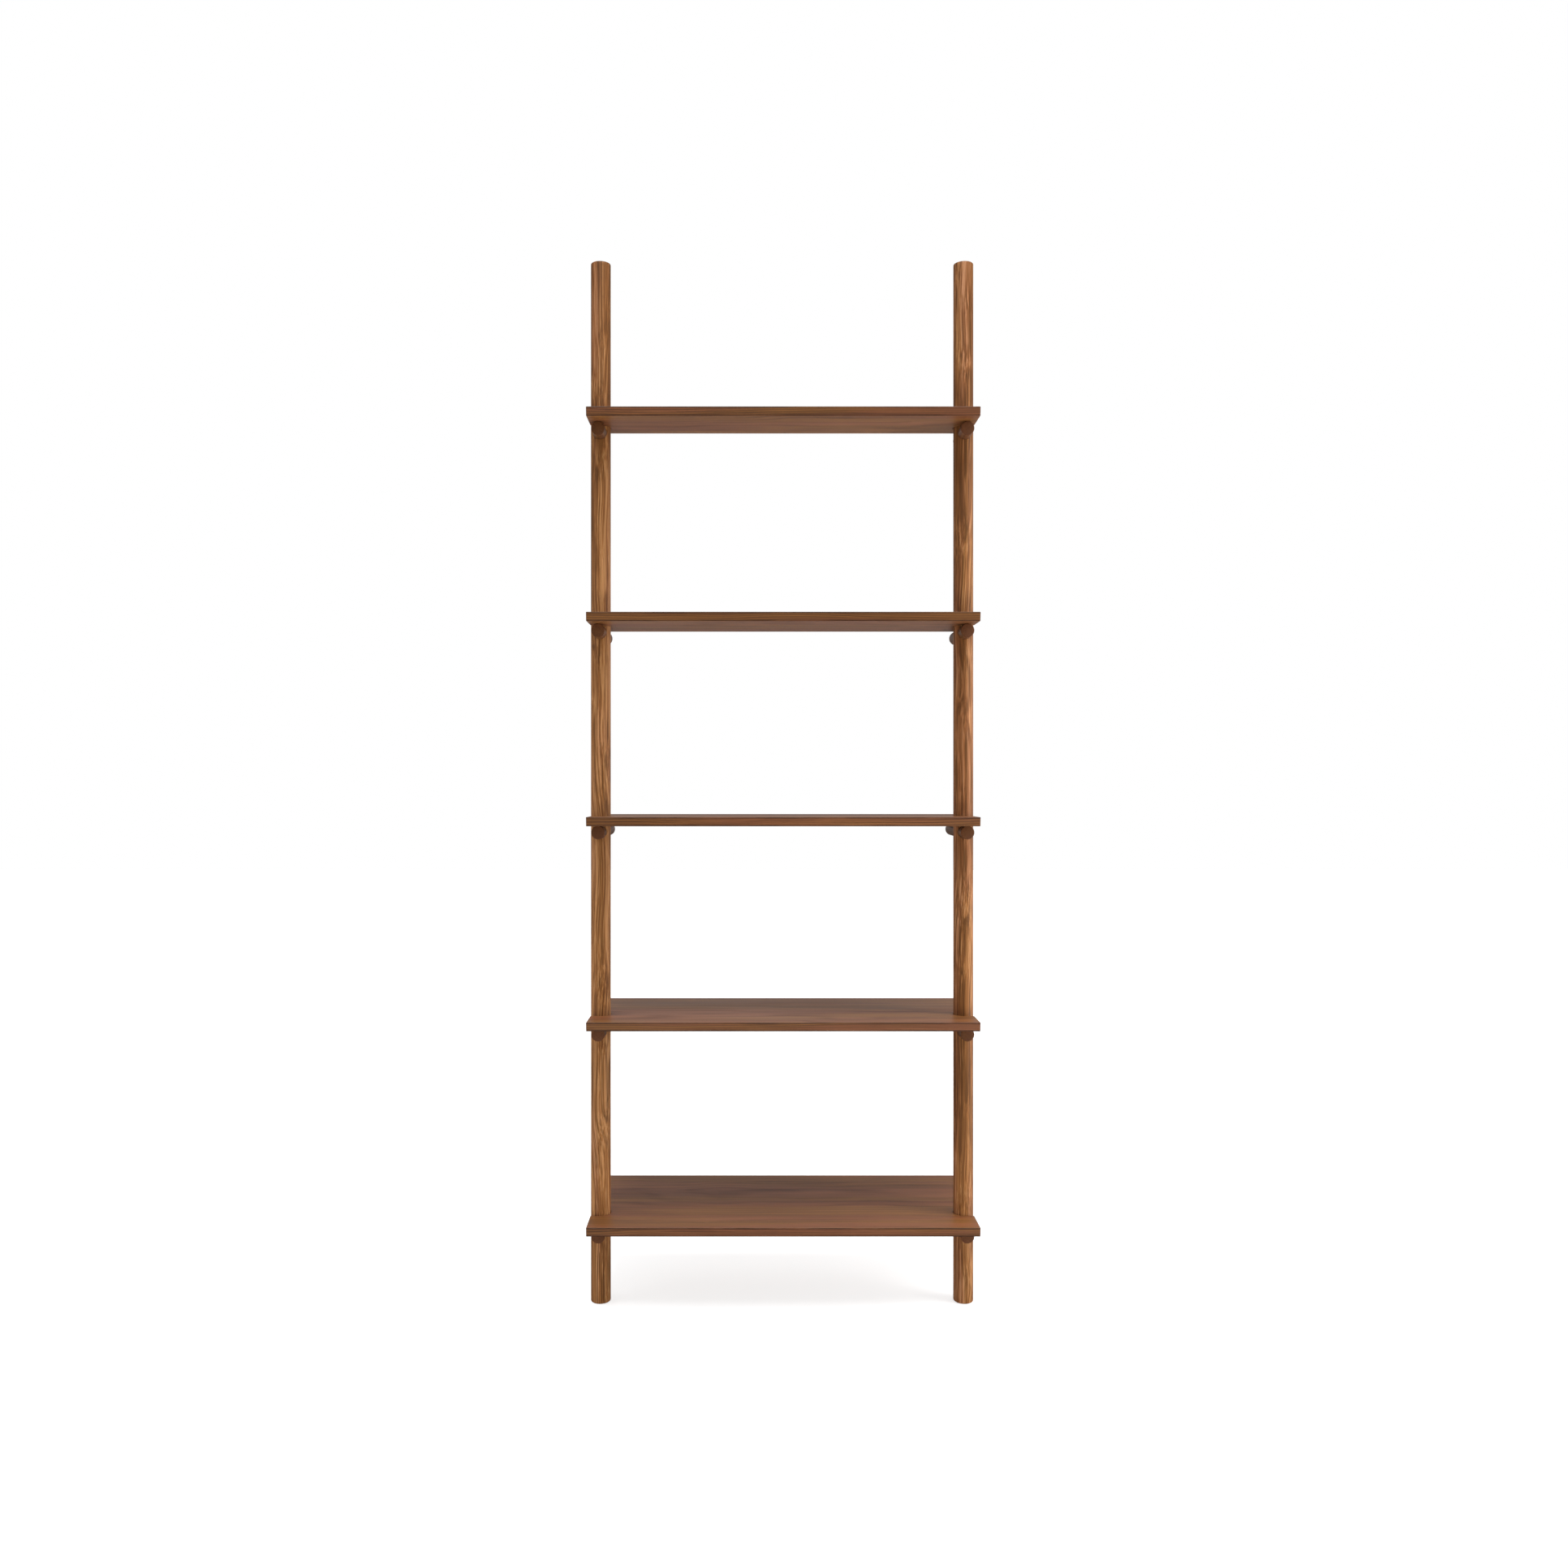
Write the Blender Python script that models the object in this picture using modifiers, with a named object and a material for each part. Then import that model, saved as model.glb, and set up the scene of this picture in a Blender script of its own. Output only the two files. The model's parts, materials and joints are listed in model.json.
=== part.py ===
"""Leaning ladder shelf: two round poles, ten through pegs and five boards that deepen towards the floor."""

import math

import bmesh
import bpy
from mathutils import Matrix, Vector

# Overall layout, in metres. The front faces -Y and the wall stands on the +Y side.
OVERALL_HEIGHT = 2.090
LEAN_SLOPE = 0.125  # the poles go back by this much for each metre they rise
LEVEL_COUNT = 5
LEVEL_PITCH = 0.400
FIRST_UNDERSIDE = 0.160  # floor to the underside of the lowest board
FIT_GAP = 0.0003  # clearance between any two pieces that meet

# Boards
BOARD_WIDTH = 0.775
BOARD_THICKNESS = 0.018
LOWEST_DEPTH = 0.326
BOARD_EDGE_RADIUS = 0.0012
BOARD_EDGE_SEGMENTS = 2
NOTCH_CLEARANCE = 0.0007  # room left around a pole in its notch
NOTCH_REACH = 0.030  # how far a notch cutter runs out past the pole

# Poles
POLE_DIAMETER = 0.040
POLE_AXIS_X = 0.3685
POLE_FRONT_SETBACK = 0.067  # front edge of a board to the front of the pole, at the same height
POLE_SEGMENTS = 48
POLE_TOP_BREAK = 0.0012
POLE_FOOT_BREAK = 0.0030
POLE_BREAK_SEGMENTS = 2

# Pegs
PEG_DIAMETER = 0.027
PEG_FRONT_SETBACK = 0.034  # front edge of a board to the front end of its pegs
PEG_REAR_OVERHANG = 0.004  # past the rear edge of the board
PEG_SEGMENTS = 36
PEG_END_BREAK = 0.0012

# Countersunk wood screws, driven up through each peg into its board
SCREW_LENGTH = 0.040
SCREW_SHANK_DIAMETER = 0.0040
SCREW_HEAD_DIAMETER = 0.0078
SCREW_HEAD_HEIGHT = 0.0026
SCREW_HEAD_RIM = 0.0003
SCREW_TIP_LENGTH = 0.0050
SCREW_TIP_DIAMETER = 0.0008
SCREW_SEGMENTS = 20
SCREW_RECESS = 0.0012  # how far the head sits inside the peg
SCREW_HOLE_MOUTH = 0.0050  # how far the hole cutter runs out below the head
DRIVE_SLOT_LENGTH = 0.0044
DRIVE_SLOT_WIDTH = 0.0009
DRIVE_SLOT_DEPTH = 0.0014

SHARP_ANGLE = math.radians(30)
LEAN_ANGLE = math.atan(LEAN_SLOPE)
POLE_HALF_DEPTH = POLE_DIAMETER / 2 / math.cos(LEAN_ANGLE)  # half the pole, measured level
POLE_AXIS_SETBACK = POLE_FRONT_SETBACK + POLE_HALF_DEPTH
LEAN_TO_TOP = (OVERALL_HEIGHT - FIRST_UNDERSIDE) * LEAN_SLOPE
OVERALL_DEPTH = LEAN_TO_TOP + POLE_AXIS_SETBACK + POLE_HALF_DEPTH
FRONT_Y = -OVERALL_DEPTH / 2  # front edge of the lowest board
REAR_Y = FRONT_Y + LOWEST_DEPTH  # rear edge shared by every board
FOOT_Y = FRONT_Y + POLE_AXIS_SETBACK - FIRST_UNDERSIDE * LEAN_SLOPE  # pole axis at the floor

SIDES = {"left": -1, "right": 1}


def clear_scene():
    for old in list(bpy.data.objects):
        bpy.data.objects.remove(old, do_unlink=True)


def new_collection(name):
    collection = bpy.data.collections.new(name)
    bpy.context.scene.collection.children.link(collection)
    return collection


def new_material(name, colour, roughness, metallic=0.0):
    material = bpy.data.materials.new(name)
    material.use_nodes = True
    shader = material.node_tree.nodes["Principled BSDF"]
    shader.inputs["Base Color"].default_value = (*colour, 1.0)
    shader.inputs["Roughness"].default_value = roughness
    shader.inputs["Metallic"].default_value = metallic
    material.diffuse_color = (*colour, 1.0)
    return material


def new_mesh(name, bm, material=None):
    """Turns a bmesh into a mesh with smooth round sides and sharp edges."""
    bmesh.ops.recalc_face_normals(bm, faces=bm.faces)
    mesh = bpy.data.meshes.new(name)
    bm.to_mesh(mesh)
    bm.free()
    mesh.shade_smooth()
    mesh.set_sharp_from_angle(angle=SHARP_ANGLE)
    if material is not None:
        mesh.materials.append(material)
    return mesh


def place(name, mesh, collection, location, parent=None, rotation=(0, 0, 0)):
    piece = bpy.data.objects.new(name, mesh)
    piece.location = location
    piece.rotation_euler = rotation
    piece.parent = parent
    collection.objects.link(piece)
    return piece


def place_cutter(name, mesh, collection, location, parent=None, rotation=(0, 0, 0)):
    cutter = place(name, mesh, collection, location, parent, rotation)
    cutter.hide_render = True
    cutter.display_type = "WIRE"
    return cutter


def cut(piece, cutter):
    step = piece.modifiers.new("cut " + cutter.name, "BOOLEAN")
    step.operation = "DIFFERENCE"
    step.solver = "EXACT"
    step.object = cutter


def round_edges(piece, width, segments):
    step = piece.modifiers.new("edges", "BEVEL")
    step.width = width
    step.segments = segments
    step.limit_method = "ANGLE"
    step.angle_limit = SHARP_ANGLE
    step.use_clamp_overlap = True


def turn_profile(piece):
    """Spins the piece's half profile all the way round its Z axis."""
    step = piece.modifiers.new("turned", "SCREW")
    step.angle = math.tau
    step.steps = SCREW_SEGMENTS
    step.render_steps = SCREW_SEGMENTS
    step.use_merge_vertices = True
    step.merge_threshold = 0.00001
    step.use_smooth_shade = False


def add_cylinder(bm, radius, length, segments, matrix):
    bmesh.ops.create_cone(
        bm,
        cap_ends=True,
        segments=segments,
        radius1=radius,
        radius2=radius,
        depth=length,
        matrix=matrix,
    )


def level_run(level):
    """How far the front edge of a level lies behind that of the lowest one."""
    return level * LEVEL_PITCH * LEAN_SLOPE


def board_depth(level):
    return LOWEST_DEPTH - level_run(level)


def peg_length(level):
    return board_depth(level) - PEG_FRONT_SETBACK + PEG_REAR_OVERHANG


def screw_setback(level):
    """Front edge to screw: halfway between the back of the pole and the rear edge."""
    pole_back = POLE_AXIS_SETBACK + POLE_HALF_DEPTH
    return (pole_back + board_depth(level)) / 2


def peg_location(side):
    return SIDES[side] * POLE_AXIS_X, PEG_FRONT_SETBACK, -FIT_GAP - PEG_DIAMETER / 2


def screw_location(level, side):
    height = SCREW_RECESS - PEG_DIAMETER - FIT_GAP
    return SIDES[side] * POLE_AXIS_X, screw_setback(level), height


def pole_mesh(material):
    """A straight pole along Z whose two ends are sawn level once it leans."""
    bm = bmesh.new()
    upright = Matrix.Rotation(LEAN_ANGLE, 3, "X")
    axis_length = OVERALL_HEIGHT / math.cos(LEAN_ANGLE)
    spare = POLE_DIAMETER
    middle = Matrix.Translation((0, 0, axis_length / 2))
    add_cylinder(bm, POLE_DIAMETER / 2, axis_length + spare, POLE_SEGMENTS, middle)
    level_normal = upright @ Vector((0, 0, 1))
    ends = (
        (Vector((0, 0, 0)), -level_normal, POLE_FOOT_BREAK),
        (Vector((0, 0, axis_length)), level_normal, POLE_TOP_BREAK),
    )
    for point, outwards, width in ends:
        sawn = bmesh.ops.bisect_plane(
            bm,
            geom=[*bm.verts, *bm.edges, *bm.faces],
            dist=1e-6,
            plane_co=point,
            plane_no=outwards,
            clear_outer=True,
        )
        rim = [item for item in sawn["geom_cut"] if isinstance(item, bmesh.types.BMEdge)]
        bmesh.ops.contextual_create(bm, geom=rim)
        bmesh.ops.bevel(
            bm,
            geom=rim,
            offset=width,
            offset_type="OFFSET",
            segments=POLE_BREAK_SEGMENTS,
            profile=0.5,
            affect="EDGES",
        )
    return new_mesh("pole", bm, material)


def board_mesh(level, material):
    """The board's origin is the middle of its lower front edge."""
    bm = bmesh.new()
    size = (BOARD_WIDTH, board_depth(level), BOARD_THICKNESS, 1)
    middle = Matrix.Translation((0, board_depth(level) / 2, BOARD_THICKNESS / 2))
    bmesh.ops.create_cube(bm, size=1.0, matrix=middle @ Matrix.Diagonal(size))
    return new_mesh(f"board_{level + 1}", bm, material)


def notch_mesh(side):
    """The U-shaped notch for a pole: round at its inner end, open at the end of the board."""
    bm = bmesh.new()
    add_cylinder(bm, POLE_DIAMETER / 2 + NOTCH_CLEARANCE, BOARD_THICKNESS * 3, POLE_SEGMENTS, Matrix())
    outer_half = [vert for vert in bm.verts if vert.co.x * SIDES[side] > 1e-5]
    bmesh.ops.translate(bm, verts=outer_half, vec=(SIDES[side] * NOTCH_REACH, 0, 0))
    return new_mesh(f"notch_{side}", bm)


def rod_mesh(name, diameter, length, material=None):
    """A round rod whose front end is at the origin, running back along +Y."""
    bm = bmesh.new()
    lying = Matrix.Translation((0, length / 2, 0)) @ Matrix.Rotation(math.radians(90), 4, "X")
    add_cylinder(bm, diameter / 2, length, PEG_SEGMENTS, lying)
    return new_mesh(name, bm, material)


def profile_mesh(name, points, material=None):
    """A half profile in the XZ plane, drawn as (radius, height) from the top down."""
    bm = bmesh.new()
    verts = [bm.verts.new((radius, 0, height)) for radius, height in points]
    for pair in zip(verts, verts[1:]):
        bm.edges.new(pair)
    return new_mesh(name, bm, material)


def screw_mesh(material):
    """Head face at the origin, tip pointing up."""
    head = SCREW_HEAD_DIAMETER / 2
    shank = SCREW_SHANK_DIAMETER / 2
    points = (
        (0, SCREW_LENGTH),
        (SCREW_TIP_DIAMETER / 2, SCREW_LENGTH),
        (shank, SCREW_LENGTH - SCREW_TIP_LENGTH),
        (shank, SCREW_HEAD_HEIGHT),
        (head, SCREW_HEAD_RIM),
        (head, 0),
        (0, 0),
    )
    return profile_mesh("screw", points, material)


def screw_hole_mesh():
    """Countersink and clearance hole for one screw, blind in the board."""
    head = SCREW_HEAD_DIAMETER / 2 + FIT_GAP
    shank = SCREW_SHANK_DIAMETER / 2 + FIT_GAP
    points = (
        (0, SCREW_LENGTH + FIT_GAP),
        (shank, SCREW_LENGTH + FIT_GAP),
        (shank, SCREW_HEAD_HEIGHT + FIT_GAP),
        (head, SCREW_HEAD_RIM + FIT_GAP),
        (head, -SCREW_HOLE_MOUTH),
        (0, -SCREW_HOLE_MOUTH),
    )
    return profile_mesh("screw_hole", points)


def drive_slot_mesh():
    """The cross recess in a screw head: a small block with an arm on each of its four sides."""
    bm = bmesh.new()
    core = Matrix.Diagonal((DRIVE_SLOT_WIDTH, DRIVE_SLOT_WIDTH, DRIVE_SLOT_DEPTH * 2, 1))
    bmesh.ops.create_cube(bm, size=1.0, matrix=core)
    sides = [face for face in bm.faces if abs(face.normal.z) < 0.5]
    arms = bmesh.ops.extrude_discrete_faces(bm, faces=sides)["faces"]
    reach = (DRIVE_SLOT_LENGTH - DRIVE_SLOT_WIDTH) / 2
    for arm in arms:
        bmesh.ops.translate(bm, verts=arm.verts, vec=arm.normal * reach)
    return new_mesh("drive_slot", bm)


def add_level_empty(level, collection):
    """An empty at the middle of the board's lower front edge, which carries the whole level."""
    height = FIRST_UNDERSIDE + level * LEVEL_PITCH
    return place(f"level_{level + 1}", None, collection, (0, FRONT_Y + level_run(level), height))


def build_poles(parts, material):
    mesh = pole_mesh(material)
    poles = {}
    for side, sign in SIDES.items():
        location = (sign * POLE_AXIS_X, FOOT_Y, 0)
        poles[side] = place(f"{side}_pole", mesh, parts, location, rotation=(-LEAN_ANGLE, 0, 0))
    return poles


def build_board(level, parts, cutters, empty, material):
    board = place(f"shelf_{level + 1}", board_mesh(level, material), parts, (0, 0, 0), empty)
    round_edges(board, BOARD_EDGE_RADIUS, BOARD_EDGE_SEGMENTS)
    half_way = BOARD_THICKNESS / 2
    for side, sign in SIDES.items():
        location = (sign * POLE_AXIS_X, POLE_AXIS_SETBACK + half_way * LEAN_SLOPE, half_way)
        lean = (-LEAN_ANGLE, 0, 0)
        name = f"notch_{level + 1}_{side}"
        cut(board, place_cutter(name, notch_mesh(side), cutters, location, empty, lean))
    return board


def build_peg(level, side, parts, cutters, empty, material, pole):
    label = f"{level + 1}_{side}"
    mesh = rod_mesh(f"peg_{label}", PEG_DIAMETER, peg_length(level), material)
    peg = place(f"peg_{label}", mesh, parts, peg_location(side), empty)
    round_edges(peg, PEG_END_BREAK, 1)
    bore = rod_mesh(f"peg_hole_{label}", PEG_DIAMETER + 2 * FIT_GAP, peg_length(level))
    cut(pole, place_cutter(f"peg_hole_{label}", bore, cutters, peg_location(side), empty))
    return peg


def build_screw(level, side, parts, cutters, empty, meshes, peg, board):
    label = f"{level + 1}_{side}"
    location = screw_location(level, side)
    hole = place_cutter(f"screw_hole_{label}", meshes["hole"], cutters, location, empty)
    turn_profile(hole)
    cut(peg, hole)
    cut(board, hole)
    screw = place(f"screw_{label}", meshes["screw"], parts, location, empty)
    turn_profile(screw)
    cut(screw, place_cutter(f"drive_slot_{label}", meshes["slot"], cutters, location, empty))


def main():
    clear_scene()
    parts = new_collection("ladder_shelf")
    cutters = new_collection("cutters")
    pole_walnut = new_material("pole_walnut", (0.205, 0.098, 0.044), 0.42)
    shelf_walnut = new_material("shelf_walnut", (0.150, 0.072, 0.034), 0.38)
    peg_walnut = new_material("peg_walnut", (0.115, 0.054, 0.030), 0.45)
    screw_steel = new_material("screw_steel", (0.560, 0.550, 0.520), 0.35, 1.0)
    meshes = {
        "screw": screw_mesh(screw_steel),
        "hole": screw_hole_mesh(),
        "slot": drive_slot_mesh(),
    }
    poles = build_poles(parts, pole_walnut)
    for level in range(LEVEL_COUNT):
        empty = add_level_empty(level, parts)
        board = build_board(level, parts, cutters, empty, shelf_walnut)
        for side, pole in poles.items():
            peg = build_peg(level, side, parts, cutters, empty, peg_walnut, pole)
            build_screw(level, side, parts, cutters, empty, meshes, peg, board)


main()
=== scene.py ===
# Leaning ladder shelf in stained walnut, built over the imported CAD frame. Blender 4.5.
import json
import math

import bmesh
import bpy
from mathutils import Matrix, Vector


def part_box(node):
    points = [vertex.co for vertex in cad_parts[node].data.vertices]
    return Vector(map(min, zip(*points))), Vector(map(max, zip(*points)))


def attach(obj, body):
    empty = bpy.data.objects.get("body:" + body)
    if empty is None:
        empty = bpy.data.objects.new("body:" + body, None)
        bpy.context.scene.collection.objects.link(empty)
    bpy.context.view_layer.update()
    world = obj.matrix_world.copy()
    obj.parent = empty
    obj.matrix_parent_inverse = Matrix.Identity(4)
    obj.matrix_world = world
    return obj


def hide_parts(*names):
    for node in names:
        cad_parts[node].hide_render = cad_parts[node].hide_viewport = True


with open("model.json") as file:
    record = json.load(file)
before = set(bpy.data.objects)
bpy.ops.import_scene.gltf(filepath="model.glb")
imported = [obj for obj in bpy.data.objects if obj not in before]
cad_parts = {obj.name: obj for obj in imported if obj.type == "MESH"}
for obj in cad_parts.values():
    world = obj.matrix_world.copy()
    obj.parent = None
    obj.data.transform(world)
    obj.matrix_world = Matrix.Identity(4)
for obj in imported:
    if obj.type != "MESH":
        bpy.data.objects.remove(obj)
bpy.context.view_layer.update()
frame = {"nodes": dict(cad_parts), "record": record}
mounts = {mount["name"]: Vector(mount["pos_m"]) for mount in frame["record"]["mounts"]}
sides = ("left", "right")
levels = (1, 2, 3, 4, 5)  # counted up from the floor
farOff = 9.0  # metres: puts a pair of faces out of reach of the stain on edges
cutGap = 1e-7  # how close to a cut a point counts as on it
mergeGap = 1e-6  # how close two points are when they become one
roundAngle = 40  # degrees: edges sharper than this are rounded
turnedAngle = 35  # degrees: edges of turned wood sharper than this stay crisp
steelAngle = 30
print("frame loaded:", len(frame["nodes"]), "CAD nodes")


# shader helper

class Wire:
    # one socket of a material; working with it like a number adds Math nodes
    def __init__(self, tree, socket=None):
        self.tree = tree
        self.socket = socket

    def node(self, kind, settings=None, inputs=None, output=0):
        made = self.tree.nodes.new(kind)
        for name, value in (settings or {}).items():
            if name == "stops":
                fillRamp(made.color_ramp, value)
            else:
                setattr(made, name, value)
        for name, value in (inputs or {}).items():
            if isinstance(value, Wire):
                self.tree.links.new(value.socket, made.inputs[name])
            else:
                made.inputs[name].default_value = value
        return Wire(self.tree, made.outputs[output])

    def math(self, operation, *values):
        return self.node("ShaderNodeMath", {"operation": operation}, dict(enumerate(values)))

    def __add__(self, other):
        return self.math("ADD", self, other)

    def __radd__(self, other):
        return self.math("ADD", other, self)

    def __sub__(self, other):
        return self.math("SUBTRACT", self, other)

    def __rsub__(self, other):
        return self.math("SUBTRACT", other, self)

    def __mul__(self, other):
        return self.math("MULTIPLY", self, other)

    def __rmul__(self, other):
        return self.math("MULTIPLY", other, self)

    def __pow__(self, other):
        return self.math("POWER", self, other)


def fillRamp(ramp, stops):
    while len(ramp.elements) > 1:
        ramp.elements.remove(ramp.elements[-1])
    for index, (place, colour) in enumerate(stops):
        stop = ramp.elements[0] if index == 0 else ramp.elements.new(place)
        stop.position = place
        stop.color = colour if isinstance(colour, tuple) else (colour, colour, colour, 1)


def mixColour(wire, factor, first, second, blend="MIX"):
    settings = {"data_type": "RGBA", "blend_type": blend}
    return wire.node("ShaderNodeMix", settings, {0: factor, 6: first, 7: second}, 2)


def stretched(grain, lengthwise, crosswise):
    # the grain space scaled, so that a pattern comes out long and thin
    scale = (lengthwise, crosswise, crosswise)
    return grain.node("ShaderNodeVectorMath", {"operation": "MULTIPLY"}, {0: grain, 1: scale})


def fibres(grain, lengthwise, crosswise, detail=2.0, roughness=0.5):
    # noise with the given number of patches to a metre, along and across the wood
    inputs = {
        "Vector": stretched(grain, lengthwise, crosswise),
        "Scale": 1.0,
        "Detail": detail,
        "Roughness": roughness,
    }
    return grain.node("ShaderNodeTexNoise", None, inputs)


def fade(wire, start, end):
    # 0 below start and 1 above end, eased at both
    inputs = {"Value": wire, "From Min": start, "From Max": end}
    return wire.node("ShaderNodeMapRange", {"interpolation_type": "SMOOTHSTEP"}, inputs)


def between(levels, rise):
    # runs from the first level to the second as the rise goes from 0 to 1
    first, second = levels
    return rise * (second - first) + first


figureSizes = {
    # patches to a metre, along and then across the grain
    "bendY": (2.0, 6.0),
    "bendZ": (2.7, 8.0),
    "ripple": (9.0, 70.0),
    "ringDrift": (0.6, 30.0),
    "ringPatch": (2.2, 60.0),
    "band": (1.9, 26.0),
    "zone": (1.5, 34.0),
    "linePatch": (2.0, 80.0),
    "hair": (22.0, 1500.0),
    "pore": (85.0, 2300.0),
    "porePatch": (3.0, 160.0),
    "edgeLightPatch": (9.0, 90.0),
    "smear": (3.0, 12.0),
    # along the grain only, because each wood has its own number across
    "streakLength": 3.2,
    "lineLength": 3.5,
}
figureLevels = {
    # how strong a pattern has to be where its mark begins, and where the mark is full
    "ringPatch": (0.34, 0.64),
    "zone": (0.42, 0.58),
    "line": (0.54, 0.61),
    "linePatch": (0.40, 0.60),
    "pore": (0.66, 0.74),
    "porePatch": (0.42, 0.62),
    "edgeLightPatch": (0.36, 0.60),
}
faintest = {"ringPatch": 0.25, "edgeLightPatch": 0.4}  # what is left of rings, and of the painted edge shade and highlight, between patches
roughShare = {"smear": 0.16, "lateWood": 0.05, "ends": 0.12, "paintedHighlight": 0.06}
reliefShare = {"hair": 0.35, "streak": 0.2, "lateWood": 0.25, "line": 0.3, "pore": 0.9}
edgeReach = {"narrow": 0.0016, "paintedHighlight": 0.0005}  # metres in from a narrow face, and from a flat for the painted highlight on the rims
fullShare = 0.4  # how much of a stain's width is at full strength
bumpHeight = 0.0004  # metres from the deepest pore to the highest fibre
oilIndex = 1.5  # how strongly the oiled wood bends light
# a round piece gets no painted shade line under its arrises and no painted highlight on its rims
plainEdges = {
    # a round piece has no arrises for stain to gather on, or for hands to rub
    "edgeRings": 0.0,
    "edgeDepth": 0.0,
    "shadeLineWidth": 0.002,
    "shadeLineStrength": 0.0,
    "shadeLineColour": (0.040, 0.014, 0.005, 1),
    "highlightWidth": 0.002,
    "highlightStrength": 0.0,
    "highlightColour": (0.36, 0.16, 0.06, 1),
}


def walnut(name, look):
    material = bpy.data.materials.new(name)
    material.use_nodes = True
    tree = material.node_tree
    shader = tree.nodes["Principled BSDF"]
    start = Wire(tree)
    grain = start.node("ShaderNodeAttribute", {"attribute_name": "grain"}, None, 1)
    fromLow = start.node("ShaderNodeAttribute", {"attribute_name": "fromLow"}, None, 1)
    fromHigh = start.node("ShaderNodeAttribute", {"attribute_name": "fromHigh"}, None, 1)

    # the grain wanders a little along the piece, and every pattern below follows it
    along, acrossY, acrossZ = (part(grain, axis) for axis in range(3))
    bentY = acrossY + (fibres(grain, *figureSizes["bendY"]) - 0.5) * look["wander"]
    bentZ = acrossZ + (fibres(grain, *figureSizes["bendZ"]) - 0.5) * look["wander"]
    bent = start.node("ShaderNodeCombineXYZ", None, {0: along, 1: bentY, 2: bentZ})

    # growth rings round the heart of the tree, which lies outside the piece
    radius = (bentY * bentY + bentZ * bentZ) ** 0.5
    ripple = (fibres(bent, *figureSizes["ripple"], 3.0) - 0.5) * look["ripple"]
    drift = fibres(bent, *figureSizes["ringDrift"]) * look["unevenness"]
    year = (radius + ripple) * (1.0 / look["ringWidth"]) + drift
    ring = year.math("FRACT", year)
    lateWood = ring.node("ShaderNodeValToRGB", {"stops": look["ringProfile"]}, {0: ring})
    patch = marked("ringPatch", fibres(bent, *figureSizes["ringPatch"]))
    lateWood = lateWood * between((faintest["ringPatch"], 1.0), patch)

    # broad zones of red and golden wood, darkened and lightened in long streaks
    band = fibres(bent, *figureSizes["band"])
    streak = fibres(bent, figureSizes["streakLength"], look["streaks"], 3.0, 0.7)
    tone = (band - 0.5) * look["bandContrast"] + (streak - 0.5) * look["streakContrast"] + 0.5
    redWood = tone.node("ShaderNodeValToRGB", {"stops": look["redWood"]}, {0: tone})
    goldWood = tone.node("ShaderNodeValToRGB", {"stops": look["goldWood"]}, {0: tone})
    zone = marked("zone", fibres(bent, *figureSizes["zone"], 3.0))
    colour = mixColour(start, zone, redWood, goldWood)
    narrow = closeTo(fromLow, fromHigh, 1, edgeReach["narrow"])
    figure = lateWood * (narrow * look["edgeRings"] + look["ringStrength"])
    colour = mixColour(start, figure, colour, look["lateColour"])

    # thin dark lines, fibres and open pores
    line = marked("line", fibres(bent, figureSizes["lineLength"], look["lines"], 1.0))
    line = line * marked("linePatch", fibres(bent, *figureSizes["linePatch"]))
    hair = fibres(bent, *figureSizes["hair"], 2.0, 0.6)
    pore = marked("pore", fibres(bent, *figureSizes["pore"], 1.0))
    pore = pore * marked("porePatch", fibres(bent, *figureSizes["porePatch"]))
    colour = mixColour(start, line * look["lineStrength"], colour, look["lineColour"])
    lightness = hair * look["hairContrast"] + (1.0 - look["hairContrast"] * 0.5)
    lightness = lightness - narrow * look["edgeDepth"]
    colour = mixColour(start, 1.0, colour, asColour(lightness), "MULTIPLY")
    colour = mixColour(start, pore * look["poreStrength"], colour, look["poreColour"])

    # sawn ends drink more stain; a painted shade line darkens the fronts and backs under the arrises,
    # and a pale painted highlight lies along the rims
    edgeLightPatchy = marked("edgeLightPatch", fibres(grain, *figureSizes["edgeLightPatch"], 3.0))
    edgeLightPatchy = between((faintest["edgeLightPatch"], 1.0), edgeLightPatchy)
    ends = closeTo(fromLow, fromHigh, 0, look["endDepth"])
    paintedShadeLine = narrow * closeTo(fromLow, fromHigh, 2, look["shadeLineWidth"])
    # a pale painted highlight along the rims, which is also made a little smoother
    paintedHighlight = closeTo(fromLow, fromHigh, 2, edgeReach["paintedHighlight"])
    paintedHighlight = paintedHighlight * closeTo(fromLow, fromHigh, 1, look["highlightWidth"])
    colour = mixColour(start, ends * look["endStain"], colour, look["endColour"])
    # painted shade line under the arrises, broken into patches
    colour = mixColour(start, paintedShadeLine * edgeLightPatchy * look["shadeLineStrength"], colour, look["shadeLineColour"])
    colour = mixColour(start, paintedHighlight * edgeLightPatchy * look["highlightStrength"], colour, look["highlightColour"])
    tree.links.new(colour.socket, shader.inputs["Base Color"])

    smear = fibres(grain, *figureSizes["smear"], 3.0)
    rough = look["roughness"] + (smear - 0.5) * roughShare["smear"] + lateWood * roughShare["lateWood"]
    rough = rough + ends * roughShare["ends"] - paintedHighlight * roughShare["paintedHighlight"]
    tree.links.new(rough.socket, shader.inputs["Roughness"])
    shader.inputs["IOR"].default_value = oilIndex
    shader.inputs["Specular IOR Level"].default_value = look["shine"]
    shader.inputs["Coat Weight"].default_value = look["lacquer"]
    shader.inputs["Coat Roughness"].default_value = look["lacquerRoughness"]

    relief = hair * reliefShare["hair"] + streak * reliefShare["streak"]
    relief = relief - lateWood * reliefShare["lateWood"]
    relief = relief - line * reliefShare["line"] - pore * reliefShare["pore"]
    bump = {"Strength": look["relief"], "Distance": bumpHeight, "Height": relief}
    normal = start.node("ShaderNodeBump", None, bump)
    tree.links.new(normal.socket, shader.inputs["Normal"])
    return material


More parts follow.
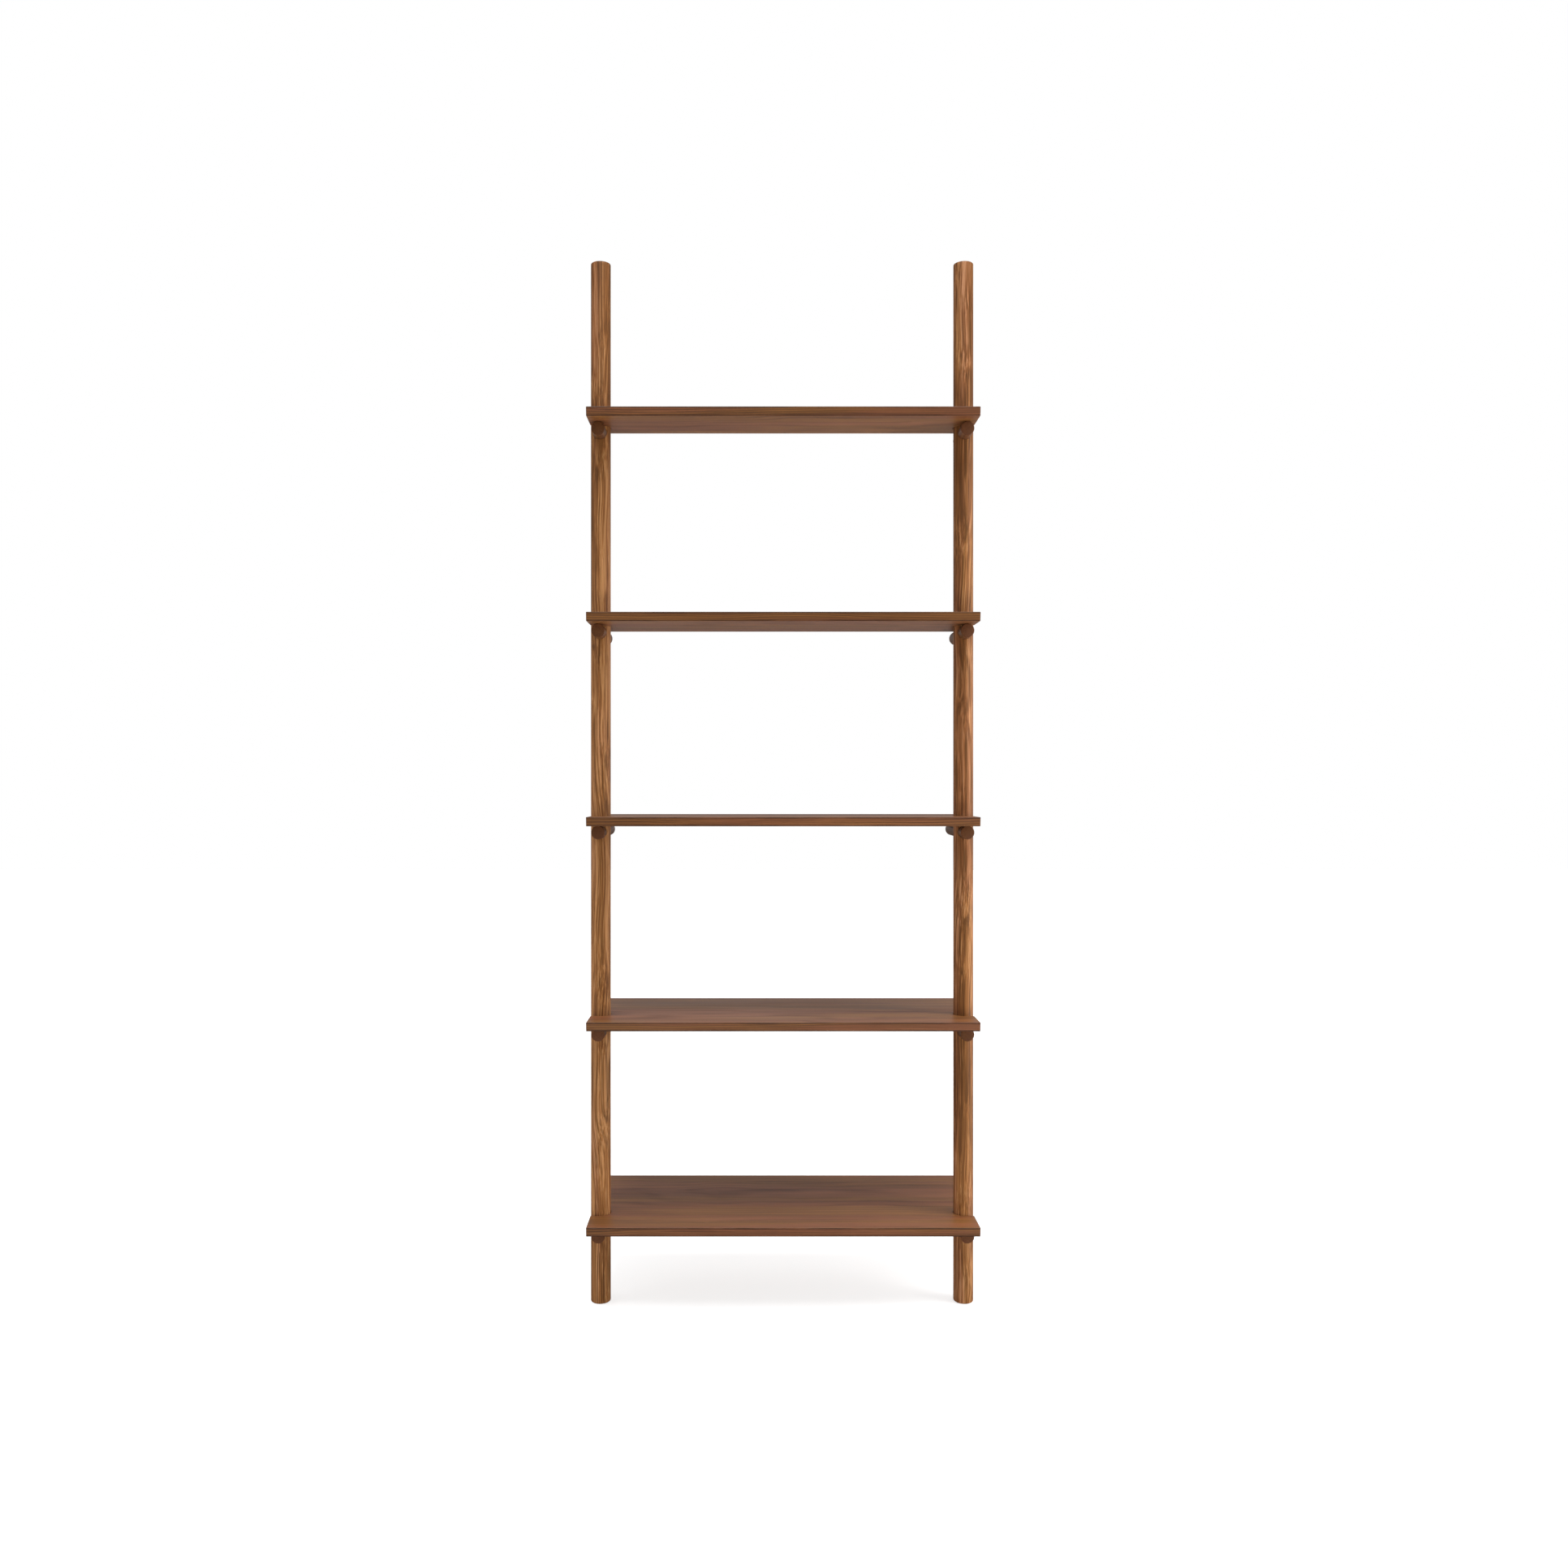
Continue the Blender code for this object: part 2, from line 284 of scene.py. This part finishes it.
def marked(name, pattern):
    # where a pattern is strong enough to leave its mark
    return fade(pattern, *figureLevels[name])


def part(vector, axis):
    return vector.node("ShaderNodeSeparateXYZ", None, {0: vector}, axis)


def asColour(value):
    return value.node("ShaderNodeCombineColor", None, {0: value, 1: value, 2: value})


def closeTo(fromLow, fromHigh, axis, width):
    # 1 on the two faces at the ends of an axis, fading to 0 within the width
    low, high = part(fromLow, axis), part(fromHigh, axis)
    nearest = low.math("MINIMUM", low, high)
    return 1.0 - fade(nearest, width * fullShare, width)


# mesh helpers

def meshFrom(name, bm):
    bmesh.ops.recalc_face_normals(bm, faces=bm.faces)
    mesh = bpy.data.meshes.new(name)
    bm.to_mesh(mesh)
    bm.free()
    return mesh


def shownMesh(name, bm, cutters=(), rounding=0.0, segments=3):
    # cuts a blank, rounds its sharp edges and keeps the outcome as one plain mesh
    scene = bpy.context.scene
    blank = bpy.data.objects.new(name + "_blank", meshFrom(name, bm))
    scene.collection.objects.link(blank)
    blank.data.shade_smooth()
    tools = [blank]
    for cutter in cutters:
        tool = bpy.data.objects.new(name + "_tool", meshFrom(name + "_tool", cutter))
        tool.data.shade_smooth()
        scene.collection.objects.link(tool)
        tools.append(tool)
        step = blank.modifiers.new("cut", "BOOLEAN")
        step.operation = "DIFFERENCE"
        step.solver = "EXACT"
        step.object = tool
    if rounding:
        step = blank.modifiers.new("round", "BEVEL")
        step.width = rounding
        step.segments = segments
        step.limit_method = "ANGLE"
        step.angle_limit = math.radians(roundAngle)
        step.harden_normals = True
        step.use_clamp_overlap = True
    depsgraph = bpy.context.evaluated_depsgraph_get()
    mesh = bpy.data.meshes.new_from_object(blank.evaluated_get(depsgraph))
    mesh.name = name
    for tool in tools:
        bpy.data.objects.remove(tool)
    return mesh


def addRod(bm, radius, start, end, sections):
    # a closed round bar between two points
    start, end = Vector(start), Vector(end)
    turn = (end - start).to_track_quat("Z", "Y").to_matrix().to_4x4()
    place = Matrix.Translation((start + end) / 2) @ turn
    bmesh.ops.create_cone(
        bm, cap_ends=True, segments=sections, radius1=radius, radius2=radius,
        depth=(end - start).length, matrix=place,
    )


def sliceAcross(bm, point, normal):
    geometry = [*bm.verts, *bm.edges, *bm.faces]
    bmesh.ops.bisect_plane(bm, geom=geometry, dist=cutGap, plane_co=point, plane_no=normal)


def sawEnd(bm, point, outwards):
    # saws a bar off square to the given direction, caps it and returns the new rim
    geometry = [*bm.verts, *bm.edges, *bm.faces]
    sawn = bmesh.ops.bisect_plane(
        bm, geom=geometry, dist=cutGap, plane_co=point, plane_no=outwards, clear_outer=True,
    )
    rim = [item for item in sawn["geom_cut"] if isinstance(item, bmesh.types.BMEdge)]
    bmesh.ops.contextual_create(bm, geom=rim)
    return rim


def breakRim(bm, rim, width, segments):
    bmesh.ops.bevel(
        bm, geom=rim, offset=width, offset_type="OFFSET", segments=segments,
        profile=0.5, affect="EDGES", material=-1,
    )


def writeVectors(mesh, name, matrix):
    # stores a straight map of the mesh's own points, which stays exact across every face
    layer = mesh.attributes.new(name, "FLOAT_VECTOR", "POINT")
    for index, vert in enumerate(mesh.vertices):
        layer.data[index].vector = matrix @ vert.co


def markWood(mesh, grainAxes, endAxes, low, high):
    writeVectors(mesh, "grain", grainAxes)
    writeVectors(mesh, "fromLow", Matrix.Translation(-Vector(low)) @ endAxes)
    writeVectors(mesh, "fromHigh", Matrix.Translation(Vector(high)) @ Matrix.Scale(-1, 4) @ endAxes)


def addPiece(name, mesh, material, node):
    mesh.materials.clear()
    mesh.materials.append(material)
    piece = bpy.data.objects.new(name, mesh)
    bpy.context.scene.collection.objects.link(piece)
    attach(piece, "root")
    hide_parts(node)


def axesFrom(along, side):
    # turns world points into (along the grain, across, across)
    along, side = Vector(along).normalized(), Vector(side).normalized()
    return Matrix((along, side, along.cross(side))).to_4x4()


# poles

poleSpec = {
    "sections": 96,  # flats round the pole
    "footRound": 0.003,
    "topRound": 0.0012,
    "pegRoom": 0.0003,
    "loopSpacing": 0.05,
    "firstLoop": 0.010,  # above the floor
    "lastLoop": 0.006,  # below the top
    "leastGap": 0.002,  # between the last two loops
    "holeSections": 72,
    # how far along its tree each pole starts, and its way to the pith
    "heart": {"left": (0.3, -0.046, 0.024), "right": (7.9, 0.036, -0.041)},
    "tilt": {"left": 0.9, "right": -0.7},  # degrees between the pole and its grain
    "surface": {
        **plainEdges,
        "wander": 0.042,
        "ripple": 0.0024,
        "unevenness": 4.5,
        "ringWidth": 0.0046,
        "ringProfile": ((0.0, 1.0), (0.14, 0.35), (0.34, 0.0), (0.66, 0.08), (0.90, 0.85), (1.0, 1.0)),
        "ringStrength": 0.62,
        "lateColour": (0.108, 0.042, 0.010, 1),
        "bandContrast": 1.0,
        "streaks": 300.0,  # to a metre, across the grain
        "streakContrast": 1.9,
        "redWood": (
            (0.24, (0.130, 0.048, 0.014, 1)),
            (0.41, (0.222, 0.082, 0.026, 1)),
            (0.55, (0.312, 0.121, 0.042, 1)),
            (0.74, (0.478, 0.221, 0.102, 1)),
        ),
        "goldWood": (
            (0.24, (0.138, 0.053, 0.014, 1)),
            (0.41, (0.236, 0.092, 0.025, 1)),
            (0.55, (0.327, 0.134, 0.039, 1)),
            (0.74, (0.492, 0.238, 0.090, 1)),
        ),
        "lines": 430.0,
        "lineStrength": 0.70,
        "lineColour": (0.092, 0.037, 0.008, 1),
        "hairContrast": 0.35,
        "poreStrength": 0.75,
        "poreColour": (0.040, 0.015, 0.006, 1),
        "endDepth": 0.0008,
        "endStain": 0.55,
        "endColour": (0.100, 0.036, 0.010, 1),
        "roughness": 0.52,
        "shine": 0.20,
        "lacquer": 0.02,
        "lacquerRoughness": 0.25,
        "relief": 0.35,
    },
}

lowest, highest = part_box("shelf_1"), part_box("shelf_5")
leanSlope = (highest[0].y - lowest[0].y) / (highest[0].z - lowest[0].z)
leanWay = Vector((0, leanSlope, 1)).normalized()
poleMaterial = walnut("pole_walnut_oiled", poleSpec["surface"])


def buildPole(side):
    low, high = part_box(f"{side}_pole")
    radius = (high.x - low.x) / 2
    foot = mounts[f"{side}_foot"]
    top = foot + leanWay * (high.z - foot.z) / leanWay.z
    bm = bmesh.new()
    spare = leanWay * radius
    addRod(bm, radius, foot - spare, top + spare, poleSpec["sections"])
    footRim = sawEnd(bm, foot, (0, 0, -1))
    breakRim(bm, footRim, poleSpec["footRound"], 4)
    topRim = sawEnd(bm, top, (0, 0, 1))
    breakRim(bm, topRim, poleSpec["topRound"], 3)
    height = poleSpec["firstLoop"]
    lastLoop = high.z - poleSpec["lastLoop"]
    while height < lastLoop - poleSpec["leastGap"]:
        sliceAcross(bm, (0, 0, height), (0, 0, 1))
        height += poleSpec["loopSpacing"]
    sliceAcross(bm, (0, 0, lastLoop), (0, 0, 1))
    holes = []
    for level in levels:
        pegLow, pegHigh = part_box(f"peg_{level}_{side}")
        middle = (pegLow + pegHigh) / 2
        start, end = (middle.x, pegLow.y, middle.z), (middle.x, pegHigh.y, middle.z)
        room = (pegHigh.x - pegLow.x) / 2 + poleSpec["pegRoom"]
        hole = bmesh.new()
        addRod(hole, room, start, end, poleSpec["holeSections"])
        holes.append(hole)
    name = f"{side}_pole_turned"
    mesh = shownMesh(name, bm, holes)
    mesh.set_sharp_from_angle(angle=math.radians(turnedAngle))
    tilt = Matrix.Rotation(math.radians(poleSpec["tilt"][side]), 4, "Z")
    grainAxes = tilt @ axesFrom(leanWay, (1, 0, 0)) @ Matrix.Translation(-foot)
    grainAxes = Matrix.Translation(poleSpec["heart"][side]) @ grainAxes
    uprightAxes = axesFrom((0, 0, 1), (1, 0, 0))
    markWood(mesh, grainAxes, uprightAxes, (low.z, -farOff, -farOff), (high.z, farOff, farOff))
    addPiece(name, mesh, poleMaterial, f"{side}_pole")


for side in sides:
    buildPole(side)
print("poles turned and drilled")


# boards

boardSpec = {
    "edgeRound": 0.0012,
    "notchRoom": 0.0007,
    "notchReach": 0.030,  # out past the end of the board
    "notchOvershoot": 0.02,  # above and below the board
    "midGap": 1e-5,  # further out than this is the open half of the slot
    "sections": 96,
    "hearts": {  # for each level: along the board, across it, and down to the pith
        1: (1.1, -0.04, 0.27),
        2: (5.3, 0.06, 0.33),
        3: (9.6, -0.08, 0.30),
        4: (14.2, 0.05, 0.36),
        5: (18.4, -0.03, 0.29),
    },
    "tilts": {1: 0.35, 2: -0.25, 3: 0.30, 4: -0.40, 5: 0.28},  # degrees, end to end
    "surface": {
        "wander": 0.020,
        "ripple": 0.0016,
        "unevenness": 1.2,
        "ringWidth": 0.0042,
        "ringProfile": ((0.0, 1.0), (0.16, 0.40), (0.42, 0.0), (0.70, 0.10), (0.92, 0.85), (1.0, 1.0)),
        "ringStrength": 0.46,
        "edgeRings": 0.34,  # more of it on the narrow faces
        "edgeDepth": 0.14,  # which are also drawn a little darker
        "lateColour": (0.068, 0.022, 0.007, 1),
        "bandContrast": 0.5,
        "streaks": 300.0,
        "streakContrast": 0.6,
        "redWood": (
            (0.30, (0.142, 0.051, 0.021, 1)),
            (0.45, (0.221, 0.077, 0.029, 1)),
            (0.55, (0.265, 0.093, 0.035, 1)),
            (0.74, (0.360, 0.139, 0.053, 1)),
        ),
        "goldWood": (
            (0.30, (0.140, 0.054, 0.016, 1)),
            (0.45, (0.221, 0.086, 0.022, 1)),
            (0.55, (0.267, 0.107, 0.027, 1)),
            (0.74, (0.360, 0.151, 0.042, 1)),
        ),
        "lines": 560.0,
        "lineStrength": 0.25,
        "lineColour": (0.060, 0.020, 0.007, 1),
        "hairContrast": 0.22,
        "poreStrength": 0.55,
        "poreColour": (0.036, 0.014, 0.006, 1),
        "endDepth": 0.0010,
        "endStain": 0.45,
        "endColour": (0.075, 0.028, 0.010, 1),
        # a painted shade line along the front and back faces, just under the arrises
        "shadeLineWidth": 0.0040,
        "shadeLineStrength": 0.92,
        "shadeLineColour": (0.052, 0.018, 0.006, 1),
        # a pale painted highlight on the rounded rims where the tops and undersides meet the front and
        # back
        "highlightWidth": 0.0035,
        "highlightStrength": 0.40,
        "highlightColour": (0.340, 0.140, 0.050, 1),
        "roughness": 0.41,
        "shine": 0.50,
        "lacquer": 0.08,
        "lacquerRoughness": 0.30,
        "relief": 0.22,
    },
}

boardMaterial = walnut("board_walnut_oiled", boardSpec["surface"])


def notchTool(side, boardLow, boardHigh):
    # a slot that follows the leaning pole: round inside, open at the end of the board
    foot = mounts[f"{side}_foot"]
    low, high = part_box(f"{side}_pole")
    radius = (high.x - low.x) / 2 + boardSpec["notchRoom"]
    overshoot = boardSpec["notchOvershoot"]
    below, above = boardLow.z - overshoot, boardHigh.z + overshoot
    start = foot + leanWay * (below - foot.z) / leanWay.z
    end = foot + leanWay * (above - foot.z) / leanWay.z
    tool = bmesh.new()
    addRod(tool, radius, start, end, boardSpec["sections"])
    outwards = 1 if side == "right" else -1
    outer = [vert for vert in tool.verts if (vert.co.x - foot.x) * outwards > boardSpec["midGap"]]
    bmesh.ops.translate(tool, verts=outer, vec=(outwards * boardSpec["notchReach"], 0, 0))
    return tool


def buildBoard(level):
    low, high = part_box(f"shelf_{level}")
    size = high - low
    bm = bmesh.new()
    place = Matrix.Translation((low + high) / 2) @ Matrix.Diagonal((*size, 1))
    bmesh.ops.create_cube(bm, size=1.0, matrix=place)
    name = f"shelf_{level}_board"
    cutters = [notchTool(side, low, high) for side in sides]
    mesh = shownMesh(name, bm, cutters, boardSpec["edgeRound"], 3)
    axes = axesFrom((1, 0, 0), (0, 1, 0))
    middle = Matrix.Translation(-(low + high) / 2)
    tilt = Matrix.Rotation(math.radians(boardSpec["tilts"][level]), 4, "Y")
    heart = Matrix.Translation(boardSpec["hearts"][level])
    markWood(mesh, heart @ tilt @ axes @ middle, axes, axes @ low, axes @ high)
    addPiece(name, mesh, boardMaterial, f"shelf_{level}")


for level in levels:
    buildBoard(level)
print("boards notched and rounded")


# screw shape, which the pegs are drilled for

screwSpec = {
    "shankShare": 0.51,  # of the head
    "headRim": 0.0003,
    "headHeight": 0.0026,
    "sections": 32,
    "holeSections": 48,
    "holeOvershoot": 0.005,  # past the face of the peg
    "threadFrom": 0.34,  # of the length
    "threadCount": 15,
    "rootShare": 0.72,  # thread root against its crest
    "rootPlace": 0.45,  # how far into a turn the root lies
    "tipLength": 0.005,
    "tipRadius": 0.0004,
    "slotLength": 0.0044,
    "slotWidth": 0.0009,
    "slotDepth": 0.0014,
}


def screwProfile(low, high, room):
    # radius of the head and of the shank, with room round them for a hole
    head = (high.x - low.x) / 2 + room
    shank = head * screwSpec["shankShare"] + room * 0.5
    return head, shank


# pegs

pegSpec = {
    "sections": 72,
    "endRound": 0.0012,
    "screwRoom": 0.0003,
    "loops": (0.004, 0.012),  # in from each end
    "rollStep": 47,  # degrees that each peg's grain is turned from the last one's
    # where each peg was cut from the tree: the first one's place, and the step to the next
    "firstHeart": (2.7, 0.012, 0.009),
    "heartStep": (1.9, 0.003),
    "heartTurns": 4,  # then the step across starts again
    "surface": {
        **plainEdges,
        "wander": 0.012,
        "ripple": 0.0012,
        "unevenness": 1.5,
        "ringWidth": 0.0031,
        "ringProfile": ((0.0, 1.0), (0.12, 0.30), (0.40, 0.05), (0.80, 0.25), (1.0, 1.0)),
        "ringStrength": 0.55,
        "lateColour": (0.058, 0.020, 0.007, 1),
        "bandContrast": 0.5,
        "streaks": 300.0,
        "streakContrast": 0.7,
        "redWood": (
            (0.30, (0.090, 0.034, 0.014, 1)),
            (0.50, (0.155, 0.058, 0.022, 1)),
            (0.72, (0.225, 0.090, 0.034, 1)),
        ),
        "goldWood": (
            (0.30, (0.092, 0.036, 0.012, 1)),
            (0.50, (0.160, 0.064, 0.018, 1)),
            (0.72, (0.230, 0.096, 0.028, 1)),
        ),
        "lines": 560.0,
        "lineStrength": 0.35,
        "lineColour": (0.050, 0.018, 0.006, 1),
        "hairContrast": 0.25,
        "poreStrength": 0.6,
        "poreColour": (0.030, 0.012, 0.005, 1),
        "endDepth": 0.0012,
        "endStain": 0.60,
        "endColour": (0.092, 0.027, 0.005, 1),
        "roughness": 0.48,
        "shine": 0.30,
        "lacquer": 0.05,
        "lacquerRoughness": 0.28,
        "relief": 0.35,
    },
}

pegMaterial = walnut("peg_walnut_oiled", pegSpec["surface"])


def turned(points, centre, sections):
    # spins a half outline of (radius, height) all the way round
    bm = bmesh.new()
    verts = [bm.verts.new((centre.x + radius, centre.y, height)) for radius, height in points]
    edges = [bm.edges.new(pair) for pair in zip(verts, verts[1:])]
    bmesh.ops.spin(
        bm, geom=[*verts, *edges], cent=centre, axis=(0, 0, 1),
        angle=math.tau, steps=sections, use_merge=True,
    )
    bmesh.ops.remove_doubles(bm, verts=bm.verts, dist=mergeGap)
    return bm


def screwHole(level, side):
    low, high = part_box(f"screw_{level}_{side}")
    centre = (low + high) / 2
    room = pegSpec["screwRoom"]
    head, shank = screwProfile(low, high, room)
    mouth = low.z - screwSpec["holeOvershoot"]
    points = (
        (0, mouth),
        (head, mouth),
        (head, low.z + screwSpec["headRim"] + room),
        (shank, low.z + screwSpec["headHeight"] + room),
        (shank, high.z + room),
        (0, high.z + room),
    )
    return turned(points, centre, screwSpec["holeSections"])


def buildPeg(level, side):
    low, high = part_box(f"peg_{level}_{side}")
    middle = (low + high) / 2
    radius = (high.x - low.x) / 2
    front, back = Vector((middle.x, low.y, middle.z)), Vector((middle.x, high.y, middle.z))
    bm = bmesh.new()
    spare = Vector((0, radius, 0))
    addRod(bm, radius, front - spare, back + spare, pegSpec["sections"])
    breakRim(bm, sawEnd(bm, front, (0, -1, 0)), pegSpec["endRound"], 3)
    breakRim(bm, sawEnd(bm, back, (0, 1, 0)), pegSpec["endRound"], 3)
    for inset in pegSpec["loops"]:
        sliceAcross(bm, front + Vector((0, inset, 0)), (0, 1, 0))
        sliceAcross(bm, back - Vector((0, inset, 0)), (0, 1, 0))
    name = f"peg_{level}_{side}_dowel"
    mesh = shownMesh(name, bm, [screwHole(level, side)])
    mesh.set_sharp_from_angle(angle=math.radians(turnedAngle))
    number = levels.index(level) * 2 + sides.index(side)
    roll = Matrix.Rotation(math.radians(pegSpec["rollStep"] * number), 4, "X")
    axes = axesFrom((0, 1, 0), (1, 0, 0))
    along, across, down = pegSpec["firstHeart"]
    along += pegSpec["heartStep"][0] * number
    across += pegSpec["heartStep"][1] * (number % pegSpec["heartTurns"])
    heart = Matrix.Translation((along, across, down))
    grainAxes = heart @ roll @ axes @ Matrix.Translation(-front)
    markWood(mesh, grainAxes, axes, (low.y, -farOff, -farOff), (high.y, farOff, farOff))
    addPiece(name, mesh, pegMaterial, f"peg_{level}_{side}")


for level in levels:
    for side in sides:
        buildPeg(level, side)
print("pegs cut and drilled")


# screws

steelSpec = {
    "mottle": 900.0,  # patches to a metre
    "shades": (
        (0.35, (0.42, 0.40, 0.36, 1)),
        (0.65, (0.66, 0.65, 0.62, 1)),
    ),
    "roughness": 0.22,
    "roughSpread": 0.25,
    "relief": 0.15,
    "reliefHeight": 0.0001,
}


def zincSteel():
    material = bpy.data.materials.new("screw_zinc")
    material.use_nodes = True
    tree = material.node_tree
    shader = tree.nodes["Principled BSDF"]
    start = Wire(tree)
    spot = start.node("ShaderNodeTexCoord", None, None, 3)
    noise = {"Vector": spot, "Scale": steelSpec["mottle"], "Detail": 3.0}
    mottle = spot.node("ShaderNodeTexNoise", None, noise)
    colour = mottle.node("ShaderNodeValToRGB", {"stops": steelSpec["shades"]}, {0: mottle})
    tree.links.new(colour.socket, shader.inputs["Base Color"])
    shader.inputs["Metallic"].default_value = 1.0
    rough = mottle * steelSpec["roughSpread"] + steelSpec["roughness"]
    tree.links.new(rough.socket, shader.inputs["Roughness"])
    bump = {"Strength": steelSpec["relief"], "Distance": steelSpec["reliefHeight"], "Height": mottle}
    tree.links.new(mottle.node("ShaderNodeBump", None, bump).socket, shader.inputs["Normal"])
    return material


screwMaterial = zincSteel()


def crossTool(low, centre):
    # the cross recess: a small block with an arm drawn out of each of its four sides
    tool = bmesh.new()
    width, depth = screwSpec["slotWidth"], screwSpec["slotDepth"]
    place = Matrix.Translation((centre.x, centre.y, low.z))
    place = place @ Matrix.Diagonal((width, width, depth * 2, 1))
    bmesh.ops.create_cube(tool, size=1.0, matrix=place)
    flanks = [face for face in tool.faces if abs(face.normal.z) < 0.5]
    arms = bmesh.ops.extrude_discrete_faces(tool, faces=flanks)["faces"]
    reach = (screwSpec["slotLength"] - width) / 2
    for arm in arms:
        bmesh.ops.translate(tool, verts=arm.verts, vec=arm.normal * reach)
    return tool


def buildScrew(level, side):
    low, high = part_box(f"screw_{level}_{side}")
    centre = (low + high) / 2
    head, shank = screwProfile(low, high, 0)
    threadTop = high.z - screwSpec["tipLength"]
    threadStart = low.z + (high.z - low.z) * screwSpec["threadFrom"]
    points = [
        (0, low.z),
        (head, low.z),
        (head, low.z + screwSpec["headRim"]),
        (shank, low.z + screwSpec["headHeight"]),
        (shank, threadStart),
    ]
    pitch = (threadTop - threadStart) / screwSpec["threadCount"]
    root = shank * screwSpec["rootShare"]
    for turn in range(screwSpec["threadCount"]):
        points.append((root, threadStart + pitch * (turn + screwSpec["rootPlace"])))
        points.append((shank, threadStart + pitch * (turn + 1)))
    points.append((screwSpec["tipRadius"], high.z))
    points.append((0, high.z))
    name = f"screw_{level}_{side}_steel"
    mesh = shownMesh(name, turned(points, centre, screwSpec["sections"]), [crossTool(low, centre)])
    mesh.set_sharp_from_angle(angle=math.radians(steelAngle))
    addPiece(name, mesh, screwMaterial, f"screw_{level}_{side}")


for level in levels:
    for side in sides:
        buildScrew(level, side)
print("screws driven")


# studio

studio = {
    "floorHalf": 12.0,
    "floorSeen": 0.60,  # brightness of the paper itself
    "floorGlow": (0.70, 0.98),  # light that it gives off near the shelf, and far away
    "glowReach": (0.8, 2.0),  # how far away it starts and stops growing
    "floorBounce": 0.80,  # what it throws back at the shelf
    "roomLight": (0.30, 1.10),  # thrown on the shelf from the room in front, and from the wall
    "mirrored": (0.08, 0.50),  # shown in the oiled wood, of the room in front and of the wall
    "floorReach": (-0.5, 9.0),  # from the floor in front to the floor by the wall
    "wallReach": (0.1, 0.9),  # from the room in front to the wall
    "wallFade": (0.10, 0.55),  # the wall's glow, from the skirting upwards
    "camera": (-0.0694, -2.5051, 1.0497),
    "pitch": 7.154,  # degrees down
    "lens": 28.323,
    "shift": (0.0230, 0.0964),
    "lampAim": (0.0, 0.0, 1.0),
    "lamps": {
        # place, width, height, watts, and whether the gloss of the wood shows it
        "right_softbox": ((1.30, -0.30, 1.10), 0.6, 2.2, 17, True),
        "left_softbox": ((-1.30, -0.30, 1.10), 0.6, 2.2, 3.5, True),
        "back_softbox": ((2.20, 1.60, 1.20), 1.2, 2.2, 8, True),
        "low_strip": ((0.0, -2.00, 0.15), 3.0, 0.5, 19, False),
        "top_softbox": ((0.0, -0.60, 4.60), 2.8, 2.8, 122, True),
    },
}


def byRay(tree, seen, mirrored, other):
    # one value for the camera, one for reflections and one for all other light
    start = Wire(tree)
    camera = start.node("ShaderNodeLightPath", None, None, 0)
    glossy = start.node("ShaderNodeLightPath", None, None, 3)
    return camera * (seen - other) + glossy * (mirrored - other) + other


def buildFloor():
    bm = bmesh.new()
    bmesh.ops.create_grid(bm, x_segments=1, y_segments=1, size=studio["floorHalf"])
    floor = bpy.data.objects.new("studio_floor", meshFrom("studio_floor", bm))
    material = bpy.data.materials.new("floor_paper")
    material.use_nodes = True
    tree = material.node_tree
    spot = Wire(tree).node("ShaderNodeTexCoord", None, None, 3)
    mirrored = between(studio["mirrored"], fade(part(spot, 1), *studio["floorReach"]))
    tone = byRay(tree, studio["floorSeen"], mirrored, studio["floorBounce"])
    away = spot.node("ShaderNodeVectorMath", {"operation": "LENGTH"}, {0: spot}, 1)
    glow = between(studio["floorGlow"], fade(away, *studio["glowReach"])) * byRay(tree, 1.0, 0.0, 0.0)
    paper = tree.nodes["Principled BSDF"]
    tree.links.new(asColour(tone).socket, paper.inputs["Base Color"])
    tree.links.new(asColour(glow).socket, paper.inputs["Emission Color"])
    paper.inputs["Emission Strength"].default_value = 1.0
    paper.inputs["Roughness"].default_value = 1.0
    paper.inputs["Specular IOR Level"].default_value = 0.0
    floor.data.materials.append(material)
    bpy.context.scene.collection.objects.link(floor)


def buildWorld():
    world = bpy.data.worlds.new("studio_air")
    world.use_nodes = True
    tree = world.node_tree
    air = tree.nodes["Background"]
    heading = Wire(tree).node("ShaderNodeTexCoord", None, None, 0)
    wall = fade(part(heading, 1), *studio["wallReach"])
    lowWall = wall * (1.0 - fade(part(heading, 2), *studio["wallFade"]))
    mirrored = between(studio["mirrored"], lowWall)
    strength = byRay(tree, 1.0, mirrored, between(studio["roomLight"], wall))
    tree.links.new(asColour(strength).socket, air.inputs["Color"])
    bpy.context.scene.world = world


def buildLamps():
    aim = Vector(studio["lampAim"])
    for name, (place, width, height, watts, inGloss) in studio["lamps"].items():
        lamp = bpy.data.lights.new(name, "AREA")
        lamp.shape = "RECTANGLE"
        lamp.size = width
        lamp.size_y = height
        lamp.energy = watts
        holder = bpy.data.objects.new(name, lamp)
        holder.location = place
        holder.rotation_euler = (aim - Vector(place)).to_track_quat("-Z", "Y").to_euler()
        holder.visible_camera = False
        holder.visible_glossy = inGloss
        bpy.context.scene.collection.objects.link(holder)


def buildCamera():
    lens = bpy.data.cameras.new("studio_camera")
    lens.sensor_width = 36.0
    lens.lens = studio["lens"]
    lens.shift_x, lens.shift_y = studio["shift"]
    lens.clip_end = 60.0
    camera = bpy.data.objects.new("studio_camera", lens)
    camera.location = studio["camera"]
    camera.rotation_euler = (math.radians(90 - studio["pitch"]), 0, 0)
    bpy.context.scene.collection.objects.link(camera)
    bpy.context.scene.camera = camera


buildFloor()
buildWorld()
buildLamps()
buildCamera()
bpy.context.scene.view_settings.view_transform = "Standard"
print("studio lit")

bpy.context.view_layer.update()
